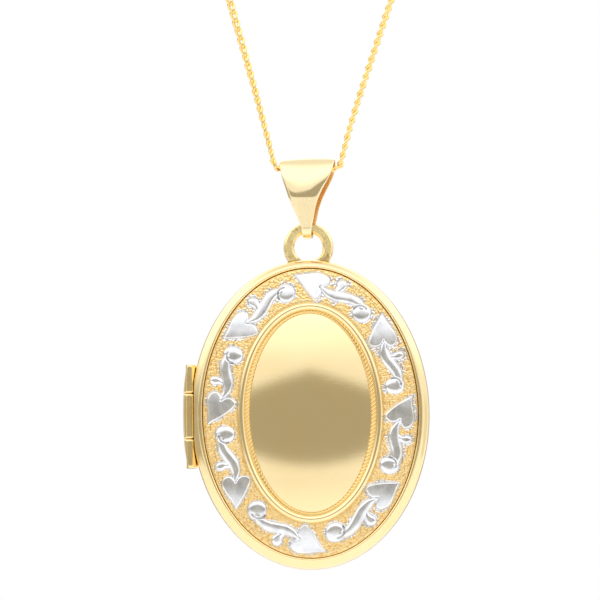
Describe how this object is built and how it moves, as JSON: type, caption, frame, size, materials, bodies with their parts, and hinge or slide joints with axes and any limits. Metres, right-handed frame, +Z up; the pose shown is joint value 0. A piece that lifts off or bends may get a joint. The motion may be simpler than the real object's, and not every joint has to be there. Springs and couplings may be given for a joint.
{
  "type": "oval photo locket on chain",
  "caption": "Oval two-colour photo locket with a domed plaque, engraved border, side hinge, bail and fine chain.",
  "frame": {"origin": "on the chain's axis where it passes through the bail's channel", "axes": "+Z up with the locket hanging below, front facing -Y, hinge on -X"},
  "size_m": [0.0262, 0.0056, 0.0716],
  "materials": {
    "polished_gold": "mirror-polished yellow gold with fine wear",
    "two_colour_front": "struck yellow gold with white rhodium relief, plain mirror plaque",
    "hinge_gold": "polished gold with darker recesses",
    "brushed_gold": "filed and lightly brushed gold",
    "chain_gold": "fine polished curb chain",
    "spring_steel": "drawn spring wire",
    "clear_acetate": "clear flexible disc",
    "photo_card": "blank ivory card"
  },
  "bodies": {
    "chain": {"chain": "chain_gold", "chain_ring_left": "chain_gold", "chain_ring_right": "chain_gold", "clasp_case": "polished_gold", "clasp_eye": "chain_gold", "clasp_spring": "spring_steel", "end_tag": "polished_gold"},
    "clasp_bolt": {"clasp_bolt": "polished_gold"},
    "bail": {"bail": "polished_gold"},
    "back_half": {"back_rim": "polished_gold", "back_cover": "polished_gold", "snap_lip": "polished_gold", "back_photo_frame": "polished_gold", "back_window": "clear_acetate", "back_photo": "photo_card", "top_loop": "brushed_gold", "hinge_knuckle_top": "hinge_gold", "hinge_knuckle_bottom": "hinge_gold", "hinge_pin": "hinge_gold"},
    "front_half": {"front_rim": "polished_gold", "front_cover": "two_colour_front", "front_photo_frame": "polished_gold", "front_window": "clear_acetate", "front_photo": "photo_card", "hinge_knuckle_middle": "hinge_gold"}
  },
  "joints": [
    {"name": "bail_swing", "type": "hinge", "parent": "chain", "child": "bail", "pos_m": [0, 0, 0], "axis": [1, 0, 0], "range_deg": [-90, 90]},
    {"name": "locket_swing", "type": "hinge", "parent": "bail", "child": "back_half", "pos_m": [0, 0, -0.00652], "axis": [1, 0, 0], "range_deg": [-90, 90]},
    {"name": "cover_hinge", "type": "hinge", "parent": "back_half", "child": "front_half", "pos_m": [-0.0127, 0, -0.02631], "axis": [0, 0, -1], "range_deg": [0, 180]},
    {"name": "clasp_trigger", "type": "hinge", "parent": "chain", "child": "clasp_bolt", "pos_m": [-0.01024, 0, 0.02628], "axis": [0, -1, 0], "range_deg": [0, 52], "stiffness_Nm_per_rad": 0.0008, "springref_deg": -17.19, "deforming": ["clasp_spring"]}
  ]
}
